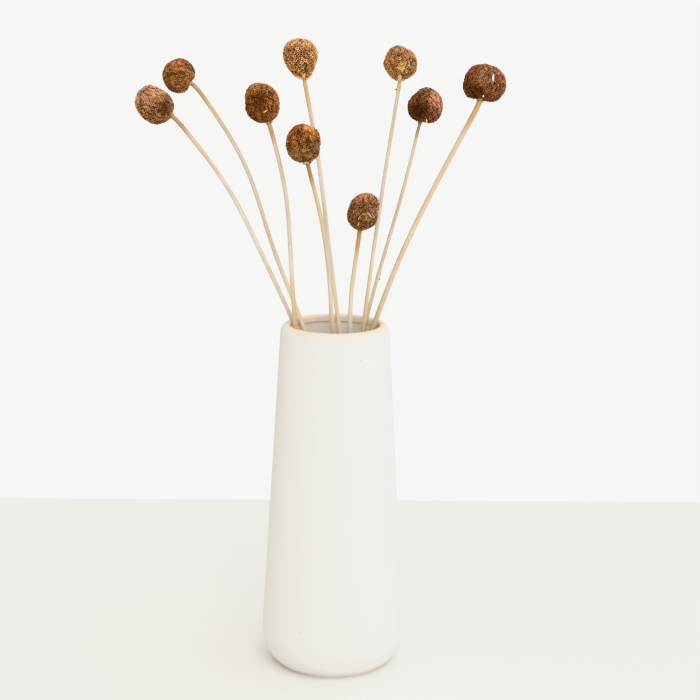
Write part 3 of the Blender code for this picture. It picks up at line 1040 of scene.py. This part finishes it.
# %% The middle line of a stem
STEM_TAPER = 0.9
FOOT_GAP = 0.35
NECK_LENGTH = 2.5
SOCKET_DEPTH = 4.6
LINE_STEPS = 120
TIP_STEPS = 5
SMOOTHING_ROUNDS = 6
SCAR_SWELLING = 0.22
SCAR_LENGTH = 1.3
CROWN_LENGTH = 22.0


def stem_line(flower, straw):
    """Points from the vase floor to the stem's tip inside the head, in millimetres."""
    neck = head_base(flower) - head_axis(flower) * NECK_LENGTH
    tip = head_base(flower) + head_axis(flower) * SOCKET_DEPTH
    rim = Vector(flower.rim)
    run = (rim - Vector(flower.foot)).length
    foot_height = FLOOR_HEIGHT + FOOT_GAP + flower.radius * straw.stout * (run / math.hypot(run, VASE_HEIGHT))
    rim -= rim.normalized() * flower.radius * (straw.stout - 1)
    stations = [(*flower.foot, foot_height), (*rim, VASE_HEIGHT), flower.low, flower.high, neck]
    heights = [station[2] for station in stations]
    run_x, run_y = (natural_spline(heights, [station[k] for station in stations]) for k in (0, 1))
    line = [Vector((run_x(z), run_y(z), z)) for z in np.linspace(foot_height, neck.z, LINE_STEPS)]
    line += [neck.lerp(tip, i / TIP_STEPS) for i in range(1, TIP_STEPS + 1)]
    for _ in range(SMOOTHING_ROUNDS):
        for i in range(LINE_STEPS - TIP_STEPS, len(line) - 1):
            line[i] = (line[i - 1] + line[i] * 2 + line[i + 1]) / 4
    return line


def stem_width(flower, straw, share, point, tip):
    """The radius at a point: tapered by its share of the way up, and swollen at leaf scars."""
    width = flower.radius * straw.stout * (1 + (STEM_TAPER - 1) * share)
    width *= 1 + (straw.crown - 1) * math.exp(-(point - tip).length / CROWN_LENGTH)
    for height in straw.scars:
        width *= 1 + SCAR_SWELLING * math.exp(-((point.z - height) / SCAR_LENGTH) ** 2)
    return width * MM


def line_mesh(flower, straw):
    """The middle line as a mesh of edges, with its width and its distance from the head's base."""
    line = stem_line(flower, straw)
    last = len(line) - 1
    mesh = bpy.data.meshes.new("stem_line")
    mesh.from_pydata([point * MM for point in line], [(i, i + 1) for i in range(last)], [])
    steps = [0.0] + [(b - a).length * MM for a, b in zip(line, line[1:])]
    length = sum(steps)
    store(mesh, "width", [stem_width(flower, straw, i / last, line[i], line[-1]) for i in range(last + 1)])
    store(mesh, "down", [length - gone - SOCKET_DEPTH * MM for gone in np.cumsum(steps)])
    return mesh


print("points in a stem's line:", LINE_STEPS + TIP_STEPS)

# %% Sweep the stem
UNEVEN_STRETCH = (1.0, 1.0, 0.25)
UNEVEN_SCALE = 420.0


def make_stem_tree():
    """A ribbed ring swept along a line that carries its width."""
    tree, into, out = shape_tree("straw_stem", {WHOLE: ("Ribs", "Seed"), NUMBER: ("Rib Depth", "Unevenness")})
    position = wired(tree, "GeometryNodeInputPosition")
    line = wired(tree, "GeometryNodeMeshToCurve", {0: into["Geometry"]})
    ring = wired(tree, "GeometryNodeCurvePrimitiveCircle", {"Resolution": into["Ribs"], "Radius": 1.0})
    ring = kept(ring, "ring", position)
    ring = moved(ring, Offset=position * (drawn(-1.0, 1.0, into["Seed"], 1) * into["Rib Depth"]))
    tube = wired(tree, "GeometryNodeCurveToMesh",
                 {"Curve": line, "Profile Curve": ring, "Scale": named(tree, "width"), "Fill Caps": True})
    uneven = noise(position * UNEVEN_STRETCH, UNEVEN_SCALE, seed=into["Seed"]) - 0.5
    normal = wired(tree, "GeometryNodeInputNormal")
    end_tree(moved(tube, Offset=normal * (uneven * into["Unevenness"])), into, out)
    return tree


STEM_TREE = make_stem_tree()
print("stem tree:", len(STEM_TREE.nodes), "nodes")

# %% [markdown]
# ## The stems: finish
#
# Dry straw is pale and slightly glossy along its fibres, and turns orange-brown just under the
# head. The fibres are a noise that is stretched along the stem: round the ring it changes fast,
# and along the stem slowly. Using the ring's own direction instead of an angle leaves no seam,
# because a direction comes back to itself after one turn. The straw has a tone at the top, in the
# middle and near the vase, each on a scale from honey over golden and bleached to cream. The tone
# near the vase is partly the straw's own and partly painted light, and there the dark fibres are
# fewer, painted light too: both lift the shade where the stems crowd each other and the rim.

# %% Straw material
STRAW_HONEY = (0.640, 0.470, 0.265)
STRAW_GOLDEN = (0.650, 0.535, 0.372)
STRAW_BLEACHED = (0.720, 0.668, 0.598)
STRAW_CREAM = (0.930, 0.810, 0.560)
STRAW_TONES = (STRAW_HONEY, STRAW_GOLDEN, STRAW_BLEACHED, STRAW_CREAM)
STRAW_DARK = (0.520, 0.390, 0.230)
STRAW_AMBER = (0.660, 0.490, 0.280)
# how fast a pattern changes round the ring and along the stem
FIBRE_SCALES = (3.2, 45.0)
AMBER_SCALES = (0.5, 38.0)
FIBRE_START = 0.7
FIBRE_DARK = (0.42, 0.70)
FIBRE_DEPTH = 0.00012
AMBER_FADE = (0.50, 0.72)
TOP_FADE = (0.015, 0.060)
# heights of the painted light near the vase
PAINTED_LIGHT_BOTTOM_FADE = (0.258, 0.300)
PAINTED_LIGHT_FEWER_FIBRES = -0.6
UNDER_FADE = (0.5, 1.5)
UNDER_FIBRES = (0.25, 0.60)
UNDER_SHARE = 0.80


def make_straw_group():
    """The colour of a straw, from where a point lies round it and down it."""
    tree, into, out = new_tree("straw_colour", "ShaderNodeTree", {
        ARROW: ("Vector",), COLOUR: ("Top", "Middle", "Bottom", "Dark", "Amber", "Under Head"),
        NUMBER: ("Under Head Length", "Start")}, {COLOUR: ("Colour",), ARROW: ("Normal",)})
    ring = attribute(tree, "ring", "Vector")
    down = attribute(tree, "down")
    along = down + into["Start"]
    thread, broad = (ring * scale_round + combined(0.0, 0.0, along * scale_along)
                     for scale_round, scale_along in (FIBRE_SCALES, AMBER_SCALES))
    fibre = noise(thread, 1.0, detail=4.0, roughness=0.65)
    _, _, height = parts(into["Vector"])
    # near the vase the bottom tone and the fewer dark fibres are painted light that lifts the shade there
    low = ranged(height, *PAINTED_LIGHT_BOTTOM_FADE, 1.0, 0.0)
    pale = mixed(ranged(down, *TOP_FADE), into["Top"], into["Middle"])
    pale = mixed(low, pale, into["Bottom"])
    colour = mixed(ranged(fibre, *FIBRE_DARK) * (low * PAINTED_LIGHT_FEWER_FIBRES + 1.0), pale, into["Dark"])
    colour = mixed(ranged(noise(broad, 1.0), *AMBER_FADE), colour, into["Amber"])
    under = ranged(down / into["Under Head Length"], *UNDER_FADE, 1.0, 0.0, smooth=True)
    ragged = under * ranged(fibre, *UNDER_FIBRES, 1.0, UNDER_SHARE)
    mixed(ragged, colour, into["Under Head"]).to(out["Colour"])
    wired(tree, "ShaderNodeBump", {"Distance": FIBRE_DEPTH, "Height": fibre}).to(out["Normal"])
    return tree


STRAW = make_straw_group()


def straw_tone(bleaching):
    """The colour of straw: honey at -1, golden at 0, bleached at 1 and cream at 2."""
    first = min(math.floor(bleaching), 1)
    return Vector(STRAW_TONES[first + 1]).lerp(Vector(STRAW_TONES[first + 2]), bleaching - first)


def straw_material(number, straw):
    """The dry straw of one stem."""
    material, shader, place = new_material(f"dry_straw_{number}", 0.55)
    tones = dict(zip(("Top", "Middle", "Bottom"), map(straw_tone, straw.tones)))
    finish = grouped(place.tree, STRAW, {
        "Vector": place, **tones, "Dark": STRAW_DARK, "Amber": STRAW_AMBER, "Under Head": straw.tip_colour,
        "Under Head Length": straw.tip_length * MM, "Start": number * FIBRE_START})
    finish["Colour"].to(shader["Base Color"])
    finish["Normal"].to(shader["Normal"])
    return material


print("straw tones:", len(STRAW_TONES))

# %% Grow the stems
STEM_SEEDS = 300
RIBS = 22
RIB_DEPTH = 0.045
UNEVENNESS = 0.22 * MM
stems = {}
for number, straw in STRAWS.items():
    size = {"Ribs": RIBS, "Rib Depth": RIB_DEPTH, "Unevenness": UNEVENNESS, "Seed": STEM_SEEDS + number,
            "Material": straw_material(number, straw)}
    stem = grown(f"stem_{number}_straw", line_mesh(FLOWERS[number], straw), STEM_TREE, size)
    finish_piece(stem, f"stem_{number}")
    stems[number] = stem
print("stems:", len(stems), "- triangles in one:", triangles(stems[1]))

# %% [markdown]
# ## Papery bracts and chaff
#
# A whorl of thin papery bracts sits where each stem meets its head, and a few slivers of chaff
# stick to the florets. All of them are the same thing, a small pointed blade that is cupped and
# bent, so one tree makes them. It puts a blade on every point of a mesh and reads three values
# from the point: which way the blade grows, which way its face looks, and how long it is.

# %% A tree for papery blades
BLADE_THICKNESS = 0.035
BLADE_CUP = -0.5
BLADE_SINE = (0.80 * math.pi, 0.16 * math.pi)


def make_blade_tree():
    """A cupped pointed blade on every point of a mesh that says how it grows."""
    tree, into, out = shape_tree("papery_blades", {NUMBER: ("Bend", "Slimness")})
    block = wired(tree, "GeometryNodeMeshCube",
                  {"Size": (1, 1, 1), "Vertices X": 3, "Vertices Y": 2, "Vertices Z": 6})
    side, depth, upward = parts(wired(tree, "GeometryNodeInputPosition"))
    along = upward + 0.5
    across = side * step("SINE", along * BLADE_SINE[0] + BLADE_SINE[1])
    thick = depth * BLADE_THICKNESS + (across * across * BLADE_CUP + along * along * into["Bend"])
    blade = moved(block, Position=combined(across, thick, along))
    grow = wired(tree, "FunctionNodeAlignRotationToVector",
                 {"Vector": named(tree, "grow", "FLOAT_VECTOR")}, axis="Z")
    face = wired(tree, "FunctionNodeAlignRotationToVector",
                 {"Rotation": grow, "Vector": named(tree, "face", "FLOAT_VECTOR")}, axis="Y", pivot_axis="Z")
    long = named(tree, "long")
    blades = wired(tree, "GeometryNodeInstanceOnPoints",
                   {"Points": into["Geometry"], "Instance": blade, "Rotation": face,
                    "Scale": combined(long * into["Slimness"], long, long)})
    end_tree(blades, into, out)
    return tree


BLADE_TREE = make_blade_tree()


def blade_points(blades):
    """A mesh of points from (place, growing direction, facing direction, length), in metres."""
    places, grow, face, long = zip(*blades)
    mesh = bpy.data.meshes.new("blade_points")
    mesh.from_pydata(places, [], [])
    store(mesh, "grow", grow)
    store(mesh, "face", face)
    store(mesh, "long", long)
    return mesh


print("blade tree:", len(BLADE_TREE.nodes), "nodes")

# %% Bracts under the heads
# each whorl's length in millimetres, and how pale it is
WHORLS = {1: (1.6, 0.55), 2: (1.6, 0.85), 3: (2.8, 0.50), 4: (5.4, 1.00), 5: (3.4, 0.90),
          6: (3.6, 0.95), 7: (2.4, 0.10), 8: (2.6, 0.40), 9: (2.6, 0.35)}
BRACTS = 8
BRACT_SEEDS = 900
BRACT_SPREAD = math.radians(76)
BRACT_ROOT = 0.75
AROUND_WANDER = (-0.3, 0.3)
SPREAD_WANDER = (-0.22, 0.12)
ROOT_WANDER = (0.2, 0.8)
LENGTH_WANDER = (0.75, 1.15)
BRACT_BROWN = (0.330, 0.180, 0.080)
BRACT_PALE = (0.720, 0.540, 0.300)
BRACT_TIP_GAIN = 1.25


def paper_material(name, colour, tip):
    """Thin dry papery skin, with fine veins and blotches."""
    material, shader, place = new_material(name, 0.6)
    mixed(mottle(place, size=0.0011, contrast=3.0), colour, tip).to(shader["Base Color"])
    grain(place, size=0.0004, depth=0.00005)["Normal"].to(shader["Normal"])
    return material


def whorl(number, flower, length):
    """The bracts round a neck: each starts at the stem and hugs the head's underside."""
    chance = random.Random(BRACT_SEEDS + number)
    axis = head_axis(flower)
    side = axis.orthogonal().normalized()
    blades = []
    for i in range(BRACTS):
        around = math.tau * (i + chance.uniform(*AROUND_WANDER)) / BRACTS
        outward = Matrix.Rotation(around, 3, axis) @ side
        spread = BRACT_SPREAD + chance.uniform(*SPREAD_WANDER)
        grow = axis * math.cos(spread) + outward * math.sin(spread)
        face = axis * math.sin(spread) - outward * math.cos(spread)
        root = head_base(flower) - axis * chance.uniform(*ROOT_WANDER)
        start = root + outward * flower.radius * BRACT_ROOT
        blades.append((start * MM, grow, face, length * chance.uniform(*LENGTH_WANDER) * MM))
    return blades


for number, (length, pale) in WHORLS.items():
    skin = Vector(BRACT_BROWN).lerp(Vector(BRACT_PALE), pale)
    paper = paper_material(f"papery_bracts_{number}", skin, skin * BRACT_TIP_GAIN)
    bracts = grown(f"bracts_{number}", blade_points(whorl(number, FLOWERS[number], length)), BLADE_TREE,
                   {"Bend": 0.12, "Slimness": 0.42, "Material": paper})
    finish_piece(bracts)
print("bracts in a whorl:", BRACTS)

# %% [markdown]
# ### Chaff where the photograph shows it
#
# Pale slivers and specks stick to three heads, and a few straw-coloured threads to a fourth. A
# golden blade lies over the neck of three heads, two flaps flank one of them, and three stems
# carry a small brown bud. Each is placed by its spot in the picture: a ray from the camera
# through that spot meets the mesh of its head or stem, so it lies on the piece that carries it
# and not in front of it.

# %% Chaff on the heads and stems
# flower, place in the picture, direction in the picture in degrees, length in millimetres, slimness
CHAFF = (
    (8, (492.8, 77.6), 88, 5.0, 0.27),
    (8, (483.4, 95.3), 60, 1.5, 0.90),
    (3, (265.4, 110.6), 36, 3.4, 0.21),
    (7, (426.6, 119.8), -88, 4.4, 0.19),
)
THREADS = (
    (9, (369.0, 214.3), -52, 7.0, 0.11),
    (9, (372.6, 215.6), -60, 4.6, 0.12),
    (9, (365.6, 214.0), 12, 4.6, 0.12),
    (9, (359.6, 216.8), 66, 3.8, 0.15),
    (9, (358.6, 223.2), 80, 3.0, 0.20),
)
NECKS = (
    (4, (303.8, 73.4), 97, 7.2, 0.34),
    (5, (306.0, 160.6), 25, 4.2, 0.38),
    (6, (399.9, 75.8), 86, 7.6, 0.36),
)
FLAPS = (
    (4, (299.4, 76.6), 150, 5.4, 0.36),
    (4, (308.6, 76.4), 38, 4.6, 0.40),
)
BUDS = (
    (6, (398.2, 90.1), 157, 3.3, 0.30),
    (7, (377.6, 278.6), -15, 2.0, 0.90),
    (1, (181.2, 126.4), 42, 2.5, 0.80),
)
print("blades to place:", sum(map(len, (CHAFF, THREADS, NECKS, FLAPS, BUDS))))

# %% Places from the picture
CHAFF_LIFT = 0.7 * MM
NECK_LIFT = 1.9 * MM


def spot_on(thing, pixel):
    """Where the ray through a place in the picture first meets a piece."""
    across = (pixel[0] - PHOTO_SIDE / 2) / FOCAL_LENGTH_PIXELS
    down = (pixel[1] - PHOTO_SIDE / 2) / FOCAL_LENGTH_PIXELS
    hit, spot, _, _ = thing.ray_cast(CAMERA_PLACE, (forward + right * across - up * down).normalized())
    if not hit:
        raise ValueError(f"{thing.name} isn't behind the picture's {pixel}")
    return spot


def spot_on_head(number, pixel):
    """The same on a head, with the direction that leads out of the head there."""
    spot = spot_on(heads[number], pixel)
    return spot, (spot - Vector(FLOWERS[number].head) * MM).normalized()


def picture_way(degrees):
    """A direction in the picture, turned from its right towards its top."""
    return right * math.cos(math.radians(degrees)) + up * math.sin(math.radians(degrees))


def stuck_blade(number, pixel, degrees, length):
    """A blade that faces the camera, with its middle just off a head."""
    spot, outward = spot_on_head(number, pixel)
    grow = picture_way(degrees)
    return spot + outward * CHAFF_LIFT - grow * (length / 2 * MM), grow, -forward, length * MM


def lying_blade(number, pixel, degrees, length):
    """A blade that lies flat along a head's underside."""
    spot, outward = spot_on_head(number, pixel)
    grow = picture_way(degrees)
    grow = (grow - outward * grow.dot(outward)).normalized()
    return spot + outward * NECK_LIFT - grow * (length / 2 * MM), grow, outward, length * MM


def bud_blade(number, pixel, degrees, length):
    """A stub that grows out of the middle of a stem."""
    start = spot_on(stems[number], pixel) + forward * (FLOWERS[number].radius * MM)
    return start, picture_way(degrees), -forward, length * MM


print("upwards in the picture:", [round(part, 2) for part in picture_way(90)])

# %% Grow the chaff
CHAFF_WHITE = (0.95, 0.92, 0.86)
NECK_GOLDEN = (0.80, 0.50, 0.25)
NECK_PALE = (0.90, 0.62, 0.36)
THREAD_STRAW = (0.74, 0.52, 0.24)
THREAD_PALE = (0.90, 0.70, 0.40)
BUD_BROWN = (0.16, 0.10, 0.055)
BUD_TAN = (0.26, 0.17, 0.09)


def add_chaff(name, rows, material, place=stuck_blade):
    """One piece for every blade of the rows."""
    for i, (number, pixel, degrees, length, slimness) in enumerate(rows):
        size = {"Bend": 0.05, "Slimness": slimness, "Material": material}
        start = blade_points([place(number, pixel, degrees, length)])
        finish_piece(grown(f"{name}_{i + 1}", start, BLADE_TREE, size))
    print(name, "blades:", len(rows))


add_chaff("chaff", CHAFF, paper_material("pale_chaff", CHAFF_WHITE, CHAFF_WHITE))
add_chaff("thread", THREADS, paper_material("straw_threads", THREAD_STRAW, THREAD_PALE))
golden = paper_material("golden_necks", NECK_GOLDEN, NECK_PALE)
for row in NECKS:
    add_chaff(f"neck_{row[0]}", (row,), golden, lying_blade)
add_chaff("flap", FLAPS, golden)
brown = paper_material("brown_buds", BUD_BROWN, BUD_TAN)
for row in BUDS:
    add_chaff(f"bud_{row[0]}", (row,), brown, bud_blade)

# %% [markdown]
# ## Table, light and tone
#
# The bunch stands on a pale table in front of a white background, in soft daylight. One plain
# sheet is the table; its far edge lies where the photograph's does. Most of the light is a
# large soft glow that is cool and bright to the right and warm and dimmer to the left, so the
# vase turns gently without casting a hard shadow. A gradient on the world does that, and one big
# soft lamp adds a little direction, which the knobbly heads need. The view transform rolls the
# brightest tones off, as a camera does, so the white clay keeps its shading.

# %% Table
TABLE_BACK = 0.3678
TABLE_TURN = math.radians(0.335)
TABLE_HALF_WIDTH = 3.0
TABLE_FRONT = -3.0
TABLE_COLOUR = (0.850, 0.828, 0.782)
TABLE_PALER = 1.02


def add_table():
    """A flat pale sheet under the vase."""
    tilt = math.tan(TABLE_TURN) * TABLE_HALF_WIDTH
    corners = [(-TABLE_HALF_WIDTH, TABLE_FRONT, 0), (TABLE_HALF_WIDTH, TABLE_FRONT, 0),
               (TABLE_HALF_WIDTH, TABLE_BACK + tilt, 0), (-TABLE_HALF_WIDTH, TABLE_BACK - tilt, 0)]
    mesh = bpy.data.meshes.new("table")
    mesh.from_pydata(corners, [], [(0, 1, 2, 3)])
    material, shader, place = new_material("pale_table", 0.6)
    paler = [part * TABLE_PALER for part in TABLE_COLOUR]
    # soft broad patches, two percent apart: painted shade on the table
    mixed(mottle(place, size=0.4, contrast=1.2), TABLE_COLOUR, paler).to(shader["Base Color"])
    mesh.materials.append(material)
    new_object("table", mesh)


add_table()
print("table's far edge in mm:", TABLE_BACK / MM)

# %% Light
BACKGROUND = (1.30, 1.30, 1.29)
BRIGHT_SIDE = Vector((0.75, -0.43, 0.50)).normalized()
BRIGHT_LIGHT = (1.37, 1.41, 1.49)
DIM_LIGHT = (0.575, 0.508, 0.385)
LAMP_COLOUR = (1.0, 0.98, 0.955)
LAMP_POWER = 9.5
LAMP_PLACE = Vector((0.30, -1.55, 1.65))
LAMP_SIZE = 0.9
LAMP_TARGET = Vector((0.0, 0.0, 0.25))


def add_world():
    """A soft glow from all sides, brighter on one, with a white background for the camera."""
    world = bpy.data.worlds.new("studio")
    bpy.context.scene.world = world
    world.use_nodes = True
    tree = world.node_tree
    tree.nodes.clear()
    direction = wired(tree, "ShaderNodeTexCoord", output="Generated")
    share = ranged(step("DOT_PRODUCT", direction, BRIGHT_SIDE), -1.0, 1.0)
    fill = wired(tree, "ShaderNodeBackground", {"Color": mixed(share, DIM_LIGHT, BRIGHT_LIGHT)})
    seen = wired(tree, "ShaderNodeBackground", {"Color": BACKGROUND})
    camera_ray = wired(tree, "ShaderNodeLightPath", output="Is Camera Ray")
    mix = wired(tree, "ShaderNodeMixShader", {0: camera_ray, 1: fill, 2: seen})
    mix.to(tree.nodes.new("ShaderNodeOutputWorld").inputs["Surface"])


def add_soft_lamp():
    """A large square lamp that faces the bunch."""
    lamp = bpy.data.lights.new("soft_window", "AREA")
    lamp.shape = "SQUARE"
    lamp.size = LAMP_SIZE
    lamp.energy = LAMP_POWER
    lamp.color = LAMP_COLOUR
    stand = bpy.data.objects.new("soft_window", lamp)
    bpy.context.scene.collection.objects.link(stand)
    stand.location = LAMP_PLACE
    stand.rotation_mode = "QUATERNION"
    stand.rotation_quaternion = (LAMP_TARGET - LAMP_PLACE).to_track_quat("-Z", "Y")


add_world()
add_soft_lamp()
bpy.context.scene.view_settings.view_transform = "Khronos PBR Neutral"
bpy.context.scene.view_settings.look = "None"
print("lamp power in watts:", LAMP_POWER)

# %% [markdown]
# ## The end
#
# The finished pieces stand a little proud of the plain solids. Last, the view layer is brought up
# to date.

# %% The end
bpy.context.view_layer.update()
